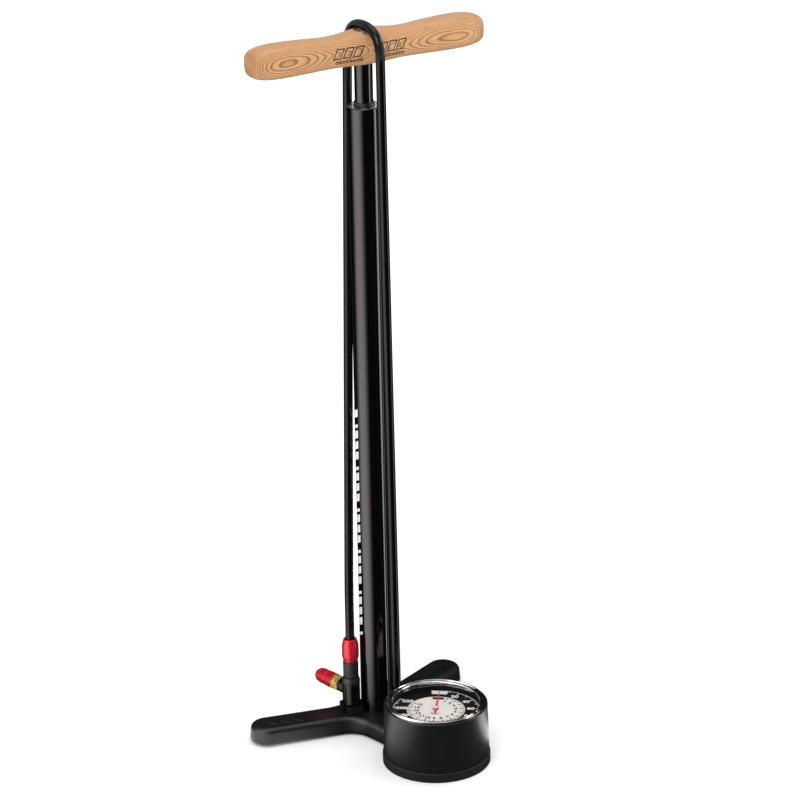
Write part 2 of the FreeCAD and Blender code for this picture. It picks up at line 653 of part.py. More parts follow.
def dial_frame(z=0.0):
    """The placement of the gauge: its Y axis points at the dial's twelve."""
    return FreeCAD.Placement(FreeCAD.Vector(0, -sheet.pod_y, z), about_z(sheet.dial_yaw))


def rod_at(x, y, low, high, radius):
    return Part.makeCylinder(radius, high - low, FreeCAD.Vector(x, y, low))


def gauge_shell_group():
    stem_x, stem_y = polar(as_size(STEM_REACH), 270.0 + D.dial_yaw.value)
    case = turned("gauge_case_blank", [
        (0, D.web_top + 0.1), (D.pod_bore - 0.4, D.web_top + 0.1, 1.6), (D.pod_bore - 0.4, 53.6),
        (D.pod_bore - 1.2, 53.6), (D.pod_bore - 1.2, D.web_top + 0.9, 0.9), (0, D.web_top + 0.9)])
    stem_hole = cylinder("case_stem_hole", 5.2, 4.0, stem_x, stem_y, D.web_top - 1.0)
    kept(placed(cut("gauge_case", case, [stem_hole]), y=POD_Y))
    kept(placed(turned("dial_spacer", [
        (D.dial_r, D.dial_z + 0.05), (43.8, D.dial_z + 0.05), (43.8, 53.55), (D.dial_r + 0.4, 53.55)]),
        y=POD_Y))
    kept(tube("lens_gasket", 44.6, 42.0, 53.7, 54.3, y=POD_Y))
    kept(placed(turned("gauge_lens", [
        (0, 54.4), (44.6, 54.4), (44.6, 55.9), (40.6, 55.9), (39.8, 56.5), (0, 56.5)]), y=POD_Y))
    kept(placed(turned("gauge_bezel", [
        (40.7, 56.0), (44.9, 56.0), (44.9, D.pod_rim + 0.1), (45.8, D.pod_rim + 0.1), (45.8, 59.4, 0.6),
        (44.5, 59.4, 0.4), (44.1, 58.3), (43.0, 58.3), (42.5, 58.9, 0.3), (40.7, 58.9, 0.8)]), y=POD_Y))
    kept(placed(plate("dial_plate", None, 0.8, [(0, 0, 43.8), (0, 0, 1.5)]), y=POD_Y, z=D.dial_z - 0.8))
    kept(placed(plate("dial_disc", None, 0.25, [(0, 0, D.inner_dial_r), (0, 0, 1.5)]), y=POD_Y,
                z=D.dial_z + 0.02))


def gauge_movement_group():
    mid, half = sheet.tube_mid, sheet.tube_half
    low, high = sheet.tube_bottom, sheet.tube_top
    shells = []
    for inset in (0.0, 0.5):
        corners = [(mid - half + inset, low + inset), (mid + half - inset, low + inset),
                   (mid + half - inset, high - inset), (mid - half + inset, high - inset)]
        points = [FreeCAD.Vector(r, 0, z) for r, z in corners]
        section = Part.Face(Part.makePolygon(points + [points[0]]))
        section.rotate(FreeCAD.Vector(), UP, TUBE_TIP + inset * 5)
        shells.append(section.revolve(FreeCAD.Vector(), UP, TUBE_ROOT - TUBE_TIP - inset * 10))
    bent = shells[0].cut(shells[1])
    piece = kept(shaped("bourdon_tube", bent))
    piece.Placement = dial_frame()

    brass = Part.makeBox(11.0, 18.95, 13.5, FreeCAD.Vector(-5.5, -37.0, 27.0))
    brass = brass.fuse(rod_at(0, -STEM_REACH, 9.2, 27.0, 4.9)).removeSplitter()
    brass = brass.cut([rod_at(0, -STEM_REACH, 8.0, 34.0, 1.2)])
    piece = kept(shaped("gauge_socket", brass))
    piece.Placement = dial_frame()
    nut_r = 8.0
    corners = [FreeCAD.Vector(nut_r * math.cos(math.radians(60 * k)),
                              nut_r * math.sin(math.radians(60 * k)) - STEM_REACH, 0) for k in range(6)]
    nut = prism(corners, 14.7, 18.8)
    piece = kept(shaped("stem_nut", nut.cut([rod_at(0, -STEM_REACH, 14.0, 20.0, 5.0)])))
    piece.Placement = dial_frame()

    def movement_plate(bottom, top, arbor_hole):
        slab = Part.makeBox(32.0, 20.0, top - bottom, FreeCAD.Vector(-8.0, -18.0, bottom))
        tools = [rod_at(0, 0, bottom - 1, top + 1, arbor_hole), rod_at(18.0, 0, bottom - 1, top + 1, 1.05)]
        return slab.cut(tools)

    pillars = [rod_at(x, -15.5, 35.6, 41.0, 1.8) for x in (-5.0, 21.0)]
    back = movement_plate(34.4, 35.6, 0.95).fuse(pillars).removeSplitter()
    front = movement_plate(41.1, 42.3, 0.95)
    for label, solid in (("movement_back_plate", back), ("movement_front_plate", front)):
        piece = kept(shaped(label, solid))
        piece.Placement = dial_frame()


def sector_group():
    """The sector gear turns on its own arbor, 18 mm from the needle's."""
    module, teeth = sheet.gear_module, int(sheet.sector_teeth)
    low, high = sheet.gear_bottom, sheet.gear_bottom + sheet.gear_face
    centre = module * (teeth + int(sheet.pinion_teeth)) / 2
    count = 12
    step = 360.0 / teeth
    fan = prism(gear_outline(teeth, module, 180.0 - 10 * step, count, 12.0), low, high)
    arm_points = [FreeCAD.Vector(x, y, 0) for x, y in (
        (-14.2, 5.4), (-13.8, -1.2), (-2.0, -1.8), (8.4, -1.4), (8.4, 1.4), (2.0, 2.2), (-9.2, 10.2))]
    gear = fan.fuse([prism(arm_points, low, high), rod_at(0, 0, low, high, 3.2)]).removeSplitter()
    gear = gear.cut([rod_at(0, 0, low - 1, high + 1, 1.0)])
    frame = dial_frame().multiply(FreeCAD.Placement(FreeCAD.Vector(centre, 0, 0), FreeCAD.Rotation()))
    piece = kept(shaped("sector_gear", gear))
    piece.Placement = frame
    arbor = rod_at(0, 0, 33.9, 42.8, 0.98)
    piece = kept(shaped("sector_arbor", arbor))
    piece.Placement = frame
    link_points = [FreeCAD.Vector(x, y, 0) for x, y in (
        (5.6, -1.2), (8.0, -1.2), (11.0, 10.4), (10.4, 12.0), (8.6, 11.4))]
    link = prism(link_points, high + 0.05, high + 0.8)
    piece = kept(shaped("gauge_link", link))
    piece.Placement = frame


def needle_group():
    """Pinion and arbor in one, with the needle and its hub on top."""
    module, teeth = sheet.gear_module, int(sheet.pinion_teeth)
    low, high = sheet.gear_bottom, sheet.gear_bottom + sheet.gear_face
    step = 360.0 / teeth
    pinion = prism(gear_outline(teeth, module, step / 2, teeth, None), low - 0.1, high + 0.1)
    top = sheet.dial_z + 1.5
    arbor = pinion.fuse([rod_at(0, 0, 33.9, top, 0.9)]).removeSplitter()
    piece = kept(shaped("pinion_arbor", arbor))
    piece.Placement = dial_frame()
    outline = [FreeCAD.Vector(x, y, 0) for x, y in (
        (-0.75, -9.0), (0.75, -9.0), (0.85, 0.0), (0.35, 34.4), (0.0, 35.4), (-0.35, 34.4), (-0.85, 0.0))]
    pointer = prism(outline, top + 0.2, top + 0.6).fuse([rod_at(0, 0, top + 0.2, top + 0.6, 2.6)])
    piece = kept(shaped("needle", pointer.removeSplitter().cut([rod_at(0, 0, top, top + 1, 0.93)])))
    piece.Placement = dial_frame()
    hub = rod_at(0, 0, top + 0.05, top + 1.5, 0.9).fuse([rod_at(0, 0, top + 0.65, top + 1.5, 1.9)])
    piece = kept(shaped("needle_hub", hub.removeSplitter()))
    piece.Placement = dial_frame()


# ---------------------------------------------------------------- hose, outlet and air line

def arc_route(points, bend=None):
    """Straight runs joined by tangent arcs.  Returns the wire and the arcs' radii."""
    edges, radii = [], []
    at = points[0]
    for i in range(1, len(points) - 1):
        before, here, after = points[i - 1], points[i], points[i + 1]
        back, on = before - here, after - here
        shorter = min(back.Length, on.Length)
        half_turn = (math.pi - back.getAngle(on)) / 2
        radius = 0.45 * shorter / math.tan(half_turn) if bend is None else bend
        reach = radius * math.tan(half_turn)
        back.normalize()
        on.normalize()
        middle = back + on
        middle.normalize()
        centre = here + middle * (radius / math.cos(half_turn))
        start, finish = here + back * reach, here + on * reach
        edges.append(Part.LineSegment(at, start).toShape())
        edges.append(Part.Arc(start, centre - middle * radius, finish).toShape())
        radii.append(radius)
        at = finish
    edges.append(Part.LineSegment(at, points[-1]).toShape())
    return Part.Wire(edges), radii


def swept(points, radius, bend=None):
    """A round bar along a route, with a check of its volume."""
    path, radii = arc_route(points, bend)
    heading = points[1] - points[0]
    ring = Part.Wire(Part.makeCircle(radius, points[0], heading))
    solid = path.makePipeShell([ring], True, False)
    expected = math.pi * radius ** 2 * path.Length
    assert abs(solid.Volume / expected - 1) < 0.005, (solid.Volume, expected)
    return solid, radii, path.Length


def hose_route():
    """The hose's route: up from the outlet, over the handle's groove and down to the chuck's ferrule."""
    over = sheet.groove_floor + sheet.hose_lift + sheet.hose_radius
    return [FreeCAD.Vector(*point) for point in (
        (OUTLET_X.value, OUTLET_Y.value, sheet.outlet_top + 0.06),
        (-0.5, -26.6, over),
        (0.7, 24.2, over),
        (CHUCK_X.value, CHUCK_Y.value, 134.0),
        (CHUCK_X.value, CHUCK_Y.value, sheet.hose_stop))]


def hose_group():
    solid, radii, length = swept(hose_route(), sheet.hose_radius)
    print("hose radii", [round(r, 1) for r in radii], "length", round(length, 1))
    print("hose route", [tuple(round(c, 2) for c in point) for point in hose_route()])
    kept(shaped("hose", solid))

    shank = cylinder("nipple_shank", 1.9, 5.4, OUTLET_X, OUTLET_Y, 12.5)
    hexagon = hex_bar("nipple_hex", 7.2, 5.2, OUTLET_X, OUTLET_Y, D.deck + 0.1)
    nipple_bore = cylinder("nipple_bore", 1.1, 20.0, OUTLET_X, OUTLET_Y, 10.0)
    kept(cut("outlet_nipple", fused("nipple_blank", [shank, hexagon]), [nipple_bore]))
    crimp = turned("outlet_crimp", [
        (1.1, 23.1), (5.6, 23.1, 0.5), (5.6, 27.0), (6.1, 27.6), (6.1, 30.0), (5.6, 30.6), (5.6, 33.0),
        (6.1, 33.6), (6.1, 36.0), (5.6, 36.6), (5.6, 39.0), (6.1, 39.6), (6.1, D.outlet_top, 0.9),
        (1.1, D.outlet_top)])
    kept(placed(crimp, OUTLET_X, OUTLET_Y))

    near, corner, far = (FreeCAD.Vector(x.value, y.value, AIR_HEIGHT) for x, y in (
        polar(as_size(47.0), OUTLET), polar(as_size(60.0), OUTLET), pod_point(STEM_REACH, 180.0)))
    inward = corner - far
    inward.normalize()
    line, bore = (swept([near, corner, far + inward * 6.3], radius, bend=9.0)[0] for radius in (1.4, 0.8))
    kept(shaped("air_line", line.cut([bore])))
    elbow = Part.makeBox(12.0, 12.0, 7.6, FreeCAD.Vector(-6.0, -6.0, -4.6))
    elbow = elbow.cut([rod_at(0, 0, -2.4, 6.0, 5.0), Part.makeCylinder(
        0.8, 10.0, FreeCAD.Vector(), FreeCAD.Vector(1, 0, 0))])
    piece = kept(shaped("gauge_elbow", elbow))
    heading = math.degrees(math.atan2(inward.y, inward.x))
    piece.Placement = FreeCAD.Placement(far, about_z(heading))


# ---------------------------------------------------------------- chuck and its dock

def chuck_group():
    bore = D.hose_radius + 0.3
    kept(placed(turned("chuck_ferrule", [
        (2.0, D.ferrule_bottom), (6.7, D.ferrule_bottom, 0.5), (6.7, D.ferrule_bottom + 1.6),
        (7.2, D.ferrule_bottom + 2.2), (7.85, D.ferrule_bottom + 5.2, 6.0), (7.85, D.ferrule_top - 6.4, 5.0),
        (6.2, D.ferrule_top, 0.8), (bore, D.ferrule_top), (bore, D.hose_stop), (2.0, D.hose_stop)]),
        CHUCK_X, CHUCK_Y))
    stem_r = 4.6
    stem_low = D.collar_bottom - 1.5
    kept(tube("chuck_stem", stem_r, 2.0, stem_low, D.ferrule_bottom - 0.02, CHUCK_X, CHUCK_Y))
    kept(placed(turned("chuck_grip", [
        (stem_r + D.running_gap, D.grip_bottom), (D.grip_r, D.grip_bottom, 0.6),
        (D.grip_r, D.ferrule_bottom - 0.35, 0.6), (stem_r + D.running_gap, D.ferrule_bottom - 0.35)]),
        CHUCK_X, CHUCK_Y))
    kept(placed(turned("chuck_collar", [
        (stem_r + D.running_gap, D.collar_bottom + 0.05), (8.4, D.collar_bottom + 0.05, 0.5),
        (8.4, D.collar_bottom + 3.2, 0.5), (7.5, D.grip_bottom - 0.3),
        (stem_r + D.running_gap, D.grip_bottom - 0.3)]), CHUCK_X, CHUCK_Y))

    low, top = D.chuck_bottom, D.collar_bottom
    trunk = placed(turned("chuck_trunk", [
        (0, low), (D.chuck_r, low, 1.2), (D.chuck_r, top, 1.0), (0, top)]), CHUCK_X, CHUCK_Y)
    turn = along(D.port_angle.value)
    boss = placed(turned("chuck_boss", [
        (0, 0), (D.port_r, 0), (D.port_r, D.port_end, 0.9), (0, D.port_end)]), CHUCK_X, CHUCK_Y, D.port_z,
        turn)
    tools = [
        cylinder("chuck_stem_seat", stem_r + 0.03, 4.0, CHUCK_X, CHUCK_Y, stem_low - 0.05),
        cylinder("chuck_duct", 2.0, 8.0, CHUCK_X, CHUCK_Y, D.port_z - 1.0),
        cylinder("chuck_mouth", 3.9, 8.2, CHUCK_X, CHUCK_Y, low - 0.1),
        cylinder("chuck_port", 1.6, D.port_end + 1.0, CHUCK_X, CHUCK_Y, D.port_z, turn),
        cylinder("chuck_port_thread", 3.95, 6.0,
                 *offset_along(D.port_end - 4.0), D.port_z, turn),
    ]
    kept(cut("chuck_body", fused("chuck_blank", [trunk, boss]), tools))

    hexagon = hex_bar("adapter_hex", 7.7, D.adapter_end - D.port_end - 0.2, z=D.port_end + 0.1)
    barrel = turned("adapter_barrel", [
        (0, D.port_end + 0.1), (7.0, D.port_end + 0.1), (7.7, D.port_end + 0.8), (7.7, D.port_end + 4.2),
        (6.5, D.port_end + 4.8), (6.5, D.port_end + 5.6), (7.7, D.port_end + 6.2), (7.7, D.adapter_end - 1.0),
        (6.9, D.adapter_end - 0.1), (0, D.adapter_end - 0.1)])
    flats = doc.addObject("Part::Common", "adapter_flats")
    flats.Base, flats.Tool = hexagon, barrel
    inner = cylinder("adapter_shank", 3.9, 5.0, z=D.port_end - 3.9)
    nose = cylinder("adapter_nose", 4.5, 6.0, z=D.adapter_end - 0.2)
    bore = cylinder("adapter_bore", 1.6, 40.0)
    adapter = cut("brass_adapter", fused("adapter_blank", [flats, inner, nose]), [bore])
    kept(placed(adapter, CHUCK_X, CHUCK_Y, D.port_z, turn))

    start, end, r = D.adapter_end + 0.1, D.slip_end, D.slip_r
    mouth = end - D.mouth_depth
    seal_low = mouth - 4.0
    kept(placed(turned("slip_chuck", [
        (4.55, start), (r, start, 0.4), (r, start + 8.6, 0.4), (r - 0.8, start + 9.2),
        (r - 0.8, start + 10.2), (r - 0.3, start + 10.8), (r - 0.3, end - 6.6, 0.4), (r - 1.2, end - 6.0),
        (r - 1.2, end - 5.0), (r - 0.8, end - 4.6), (r - 0.8, end - 3.4, 1.2), (4.4, end, 1.2),
        (D.mouth_r, end), (D.mouth_r, mouth), (4.8, mouth), (4.8, seal_low), (1.8, seal_low),
        (1.8, D.adapter_end + 6.2), (4.55, D.adapter_end + 6.2)]),
        CHUCK_X, CHUCK_Y, D.port_z, turn))
    kept(placed(turned("valve_seal", [
        (2.5, seal_low + 0.05), (4.7, seal_low + 0.05), (4.7, mouth - 0.05), (3.2, mouth - 0.05)]),
        CHUCK_X, CHUCK_Y, D.port_z, turn))


def offset_along(reach):
    """A point on the port's axis at a reach from the chuck's axis."""
    x, y = polar(reach, D.port_angle.value)
    return CHUCK_X + x, CHUCK_Y + y


def dock_group():
    turn = about_z(LEFT_LEG)
    foot = D.deck + 0.05
    saddle = block("dock_saddle", (15.4, 22.0, 6.8), *dock_point(-7.7, -9.4), foot, turn)
    finger = block("dock_finger", (2.0, 7.0, 9.6), *dock_point(8.7, -3.5), foot, turn)
    spigot = cylinder("dock_spigot", 3.0, 12.5, CHUCK_X, CHUCK_Y, foot)
    hole_tool = cylinder("dock_screw_bore", 1.55, 5.5, *dock_point(5.0, 0.0), foot - 0.5)
    kept(cut("chuck_dock", fused("dock_blank", [saddle, finger, spigot]), [hole_tool]))
    x, y = dock_point(5.0, 0.0)
    kept(fused("dock_screw", [cylinder("dock_screw_head", 3.0, 1.8, x, y, 10.0),
                              cylinder("dock_screw_shank", 1.5, 11.0, x, y, 11.5)]))


# ---------------------------------------------------------------- build, check and write

base_group()
barrel_group()
piston_group()
gauge_shell_group()
gauge_movement_group()
sector_group()
needle_group()
hose_group()
chuck_group()
dock_group()
doc.recompute()

faults = [thing.Name for thing in doc.Objects if "Invalid" in thing.State or "Error" in thing.State]
for piece in SUBPARTS:
    if piece.Shape.isNull() or not piece.Shape.isValid() or not piece.Shape.Solids:
        faults.append(f"{piece.Label} has no valid shape")
if faults:
    raise SystemExit(f"not written: {faults}")

os.makedirs("parts", exist_ok=True)
for piece in SUBPARTS:
    piece.Shape.exportStep(os.path.join("parts", f"{piece.Label}.step"))
print(len(SUBPARTS), "sub-parts written")
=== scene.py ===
"""A floor bike pump: finishes, detailed pieces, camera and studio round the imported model."""
import json
import math

import bpy
from mathutils import Matrix, Vector


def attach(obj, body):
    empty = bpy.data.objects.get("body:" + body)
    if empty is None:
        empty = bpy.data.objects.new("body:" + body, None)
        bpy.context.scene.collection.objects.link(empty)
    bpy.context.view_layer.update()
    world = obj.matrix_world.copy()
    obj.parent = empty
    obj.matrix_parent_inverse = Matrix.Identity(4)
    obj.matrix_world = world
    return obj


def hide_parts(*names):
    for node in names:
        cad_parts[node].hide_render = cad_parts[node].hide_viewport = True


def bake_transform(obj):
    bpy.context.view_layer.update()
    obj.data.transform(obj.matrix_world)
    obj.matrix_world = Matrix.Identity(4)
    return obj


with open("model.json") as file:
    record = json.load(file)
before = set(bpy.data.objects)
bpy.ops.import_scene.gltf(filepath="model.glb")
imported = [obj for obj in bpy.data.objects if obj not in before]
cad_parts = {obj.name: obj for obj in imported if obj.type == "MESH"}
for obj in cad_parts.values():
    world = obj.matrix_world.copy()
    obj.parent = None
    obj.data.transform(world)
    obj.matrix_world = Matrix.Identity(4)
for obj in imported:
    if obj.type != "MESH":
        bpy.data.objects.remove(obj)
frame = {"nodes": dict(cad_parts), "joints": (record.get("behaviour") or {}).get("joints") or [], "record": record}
nodes = frame["nodes"]
joint_places = {joint["name"]: joint["pos_m"] for joint in frame["joints"] if "pos_m" in joint}
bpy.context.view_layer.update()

# Sizes are in millimetres unless a name or a note says otherwise, and MM takes them to metres.
MM = 0.001
GRIP_RISE = 661.8
GRIP_YAW = math.radians(-7.0)
GRIP_SHIFT = 2.6
GRIP_HALF = 115.5
GUTTER_RISE = 675.2
GROOVE_FLOOR = GUTTER_RISE - GRIP_RISE
GROOVE_RADIUS = 5.1
GROOVE_MIDDLE = 0.1
CHUCK = (-23.74, 7.85)
POD_Y = joint_places["needle_turn"][1] / MM
DIAL_UP = 48.0


# ---------------------------------------------------------------- node helpers

class Graph:
    """Short ways to add shader nodes to one material."""

    def __init__(self, name):
        self.material = bpy.data.materials.new(name)
        self.material.use_nodes = True
        self.tree = self.material.node_tree
        self.tree.nodes.clear()

    def node(self, kind, **settings):
        made = self.tree.nodes.new(kind)
        for key, value in settings.items():
            setattr(made, key, value)
        return made

    def put(self, value, socket):
        """A socket, or a constant, into an input."""
        if isinstance(value, bpy.types.NodeSocket):
            self.tree.links.new(value, socket)
        else:
            socket.default_value = value

    def math(self, operation, a, b=0.0, c=0.0):
        made = self.node("ShaderNodeMath", operation=operation)
        for socket, value in zip(made.inputs, (a, b, c)):
            self.put(value, socket)
        return made.outputs[0]

    def place(self):
        return self.node("ShaderNodeTexCoord").outputs["Object"]

    def stretched(self, scale):
        made = self.node("ShaderNodeMapping")
        self.put(self.place(), made.inputs["Vector"])
        made.inputs["Scale"].default_value = scale
        return made.outputs[0]

    def noise(self, vector, scale, detail=4.0, rough=0.55):
        made = self.node("ShaderNodeTexNoise")
        self.put(vector, made.inputs["Vector"])
        made.inputs["Scale"].default_value = scale
        made.inputs["Detail"].default_value = detail
        made.inputs["Roughness"].default_value = rough
        return made.outputs[0]

    def span(self, value, low, high, from_low=0.3, from_high=0.7):
        made = self.node("ShaderNodeMapRange")
        for key, number in (("Value", value), ("From Min", from_low), ("From Max", from_high),
                            ("To Min", low), ("To Max", high)):
            self.put(number, made.inputs[key])
        return made.outputs[0]

    def mix(self, factor, a, b):
        made = self.node("ShaderNodeMix", data_type="RGBA")
        self.put(factor, made.inputs[0])
        self.put(a, made.inputs[6])
        self.put(b, made.inputs[7])
        return made.outputs[2]

    def bump(self, height, strength, distance, under=None):
        made = self.node("ShaderNodeBump")
        self.put(height, made.inputs["Height"])
        made.inputs["Strength"].default_value = strength
        made.inputs["Distance"].default_value = distance
        if under is not None:
            self.put(under, made.inputs["Normal"])
        return made.outputs[0]

    def principled(self, **inputs):
        made = self.node("ShaderNodeBsdfPrincipled")
        for key, value in inputs.items():
            self.put(value, made.inputs[key.replace("_", " ")])
        out = self.node("ShaderNodeOutputMaterial")
        self.tree.links.new(made.outputs[0], out.inputs[0])
        return self.material


def linear(red, green, blue):
    """A display colour, 0 to 255 each, as the linear one shaders take."""
    return tuple(((v / 255 + 0.055) / 1.055) ** 2.4 if v > 10 else v / 255 / 12.92
                 for v in (red, green, blue)) + (1.0,)


def shade(colour, factor):
    return tuple(min(1.0, v * factor) for v in colour[:3]) + (1.0,)


def finish(name, colour, rough, metal=0.0, coat=0.0, tint=0.08, grain=1500.0, bump=0.15,
           swing=0.06, stretch=(1, 1, 1), edge=0.0, shine=0.5):
    """A procedural finish: a slow drift of colour and gloss, and a fine grain that lifts the surface."""
    g = Graph(name)
    base = linear(*colour)
    drift = g.noise(g.place(), 45.0, 3.0)
    fine = g.noise(g.stretched(stretch), grain, 3.0)
    both = g.math("ADD", g.math("MULTIPLY", drift, 0.6), g.math("MULTIPLY", fine, 0.4))
    under = None
    if edge:
        soft = g.node("ShaderNodeBevel", samples=4)
        soft.inputs["Radius"].default_value = edge * MM
        under = soft.outputs[0]
    return g.principled(
        Base_Color=g.mix(g.span(both, 0.0, 1.0), shade(base, 1 - tint), shade(base, 1 + tint)),
        Roughness=g.span(both, rough - swing, rough + swing),
        Metallic=metal, Coat_Weight=coat, Coat_Roughness=0.04, Specular_IOR_Level=shine,
        Normal=g.bump(fine, bump, 0.00012, under))


# ---------------------------------------------------------------- materials by slot

MATERIALS = {
    "cast_black": finish("cast_black", (20, 20, 21), 0.34, tint=0.12, grain=1700, bump=0.4, edge=0.9,
                         shine=0.45),
    "gloss_black": finish("gloss_black", (5, 5, 5), 0.07, tint=0.1, grain=700, bump=0.015, swing=0.02,
                          shine=0.6),
    "polished_cap": finish("polished_cap", (196, 198, 202), 0.16, metal=1.0, grain=2600, bump=0.08,
                           stretch=(1, 1, 6)),
    "black_acetal": finish("black_acetal", (16, 16, 16), 0.34, tint=0.1, grain=1500, bump=0.25, edge=0.4),
    "nylon": finish("nylon", (222, 217, 203), 0.45),
    "black_rubber": finish("black_rubber", (27, 27, 28), 0.55, tint=0.14, grain=1300, bump=0.5, shine=0.35),
    "hose_rubber": finish("hose_rubber", (5, 5, 5), 0.13, tint=0.14, grain=1100, bump=0.03, swing=0.03,
                          shine=0.24),
    "machined_alloy": finish("machined_alloy", (176, 178, 182), 0.3, metal=1.0, stretch=(1, 1, 9)),
    "steel": finish("steel", (150, 152, 156), 0.28, metal=1.0, grain=2100),
    "spring_steel": finish("spring_steel", (120, 121, 124), 0.34, metal=1.0),
    "brass": finish("brass", (240, 212, 116), 0.3, metal=0.85, grain=2200, bump=0.12, edge=0.25),
    "chrome": finish("chrome", (226, 227, 229), 0.06, metal=1.0, tint=0.03, grain=900, bump=0.015,
                     swing=0.015),
    "dial_black": finish("dial_black", (8, 8, 8), 0.6, grain=2400, bump=0.05, shine=0.2),
    "dial_white": finish("dial_white", (240, 229, 226), 0.55, tint=0.03, grain=2400, bump=0.04),
    "needle_red": finish("needle_red", (226, 42, 34), 0.4, tint=0.06),
    "chuck_black": finish("chuck_black", (7, 7, 7), 0.16, tint=0.1, grain=900, bump=0.05, edge=0.5),
    "knurl_grey": finish("knurl_grey", (29, 28, 29), 0.42, tint=0.14, grain=1900, bump=0.4, shine=0.5),
    "red_anodised": finish("red_anodised", (206, 28, 50), 0.26, metal=0.45, coat=0.2, tint=0.08,
                           grain=2300, bump=0.1, stretch=(1, 1, 5), edge=0.35),
}


def lens_material():
    """Clear plastic: nothing is bent through it, and it shines by its angle to the eye."""
    g = Graph("clear_lens")
    smear = g.noise(g.place(), 60.0, 3.0)
    clear = g.node("ShaderNodeBsdfTransparent")
    clear.inputs[0].default_value = (0.97, 0.975, 0.97, 1.0)
    shine = g.node("ShaderNodeBsdfGlossy")
    shine.inputs["Color"].default_value = (1.0, 1.0, 1.0, 1.0)
    g.put(g.span(smear, 0.02, 0.06), shine.inputs["Roughness"])
    fresnel = g.node("ShaderNodeFresnel")
    fresnel.inputs["IOR"].default_value = 1.45
    facing_out = g.math("SUBTRACT", 1.0, g.node("ShaderNodeNewGeometry").outputs["Backfacing"])
    both = g.node("ShaderNodeMixShader")
    g.put(g.math("MULTIPLY", fresnel.outputs[0], facing_out), both.inputs[0])
    g.tree.links.new(clear.outputs[0], both.inputs[1])
    g.tree.links.new(shine.outputs[0], both.inputs[2])
    out = g.node("ShaderNodeOutputMaterial")
    g.tree.links.new(both.outputs[0], out.inputs[0])
    return g.material


MATERIALS["clear_lens"] = lens_material()


# The wood's own numbers are in metres.
RING_GAP = 0.0011
RING_START = 0.35
RING_COLOURS = ((0.0, (122, 72, 38)), (0.10, (188, 140, 94)), (0.34, (202, 156, 110)),
                (0.74, (186, 137, 91)), (0.94, (124, 75, 40)))
SLOW_WARP, FINE_WARP = 0.0048, 0.0006
SHEET_BOW, SHEET_BEND = 24.0, 1.5
LOBE_MIDDLE = 0.074
TIP_STARTS, TIP_ENDS = 0.103, 0.118


def wood_material():
    """Ash sawn flat: growth sheets stacked front to back and bent round each lobe, so they show as nested
    ovals on the lobes and as fine lines on top, with pores drawn out along the handle."""
    g = Graph("ash_wood")
    place = g.place()
    parts = g.node("ShaderNodeSeparateXYZ")
    g.put(place, parts.inputs[0])
    along, depth, height = parts.outputs[0], parts.outputs[1], parts.outputs[2]
    slow = g.noise(g.stretched((0.35, 1, 1)), 24.0, 2.0)
    small = g.noise(g.stretched((0.12, 1, 1)), 190.0, 3.0)
    warp = g.math("ADD", g.math("MULTIPLY", g.math("SUBTRACT", slow, 0.5), SLOW_WARP),
                  g.math("MULTIPLY", g.math("SUBTRACT", small, 0.5), FINE_WARP))
    bow = g.math("MULTIPLY", g.math("MULTIPLY", height, height), SHEET_BOW)
    from_lobe = g.math("SUBTRACT", g.math("ABSOLUTE", along), LOBE_MIDDLE)
    bend = g.math("MULTIPLY", g.math("MULTIPLY", from_lobe, from_lobe), SHEET_BEND)
    sheet = g.math("ADD", g.math("ADD", depth, bow), g.math("ADD", warp, bend))
    ring = g.math("FRACT", g.math("ADD", g.math("MULTIPLY", sheet, 1 / RING_GAP), RING_START))
    ramp = g.node("ShaderNodeValToRGB")
    g.put(ring, ramp.inputs[0])
    for element, (position, colour) in zip(ramp.color_ramp.elements, (RING_COLOURS[0], RING_COLOURS[-1])):
        element.position = position
        element.color = linear(*colour)
    for position, colour in RING_COLOURS[1:-1]:
        ramp.color_ramp.elements.new(position).color = linear(*colour)
    fibre = g.noise(g.stretched((0.045, 1, 1)), 1300.0, 3.0, 0.7)
    streaks = g.span(fibre, 0.0, 1.0, 0.38, 0.72)
    pores = g.span(fibre, 0.0, 1.0, 0.58, 0.70)
    cloudy = g.span(g.noise(g.stretched((0.3, 1, 1)), 40.0), 0.0, 1.0, 0.35, 0.72)
    body = g.mix(g.math("MULTIPLY", cloudy, 0.3), ramp.outputs[0], linear(206, 162, 116))
    body = g.mix(g.math("MULTIPLY", streaks, 0.24), body, linear(152, 106, 68))
    body = g.mix(g.math("MULTIPLY", pores, 0.5), body, linear(104, 62, 34))
    tip = g.span(g.math("ABSOLUTE", along), 0.0, 0.45, TIP_STARTS, TIP_ENDS)
    body = g.mix(tip, body, linear(140, 76, 48))
    return g.principled(
        Base_Color=body, Roughness=g.span(fibre, 0.36, 0.5), Coat_Weight=0.12, Coat_Roughness=0.3,
        Specular_IOR_Level=0.35,
        Normal=g.bump(g.math("ADD", g.math("MULTIPLY", pores, -0.8), g.math("MULTIPLY", ring, 0.25)),
                      0.3, 0.0002))


MATERIALS["ash_wood"] = wood_material()
SLOTS = {entry["node"]: entry["material_slot"] for entry in frame["record"]["subparts"]}


def paint(obj, material):
    obj.data.materials.clear()
    obj.data.materials.append(material)


for name, obj in nodes.items():
    if len(obj.material_slots) == 0:
        obj.data.materials.append(None)
    for holder in obj.material_slots:
        holder.link = "OBJECT"
        holder.material = MATERIALS[SLOTS[name]]


# ---------------------------------------------------------------- mesh helpers

def mesh_object(name, points, faces, material, smooth=True):
    mesh = bpy.data.meshes.new(name)
    mesh.from_pydata([tuple(p) for p in points], [], faces)
    mesh.update()
    if smooth:
        mesh.polygons.foreach_set("use_smooth", [True] * len(mesh.polygons))
    obj = bpy.data.objects.new(name, mesh)
    bpy.context.scene.collection.objects.link(obj)
    paint(obj, material)
    return obj


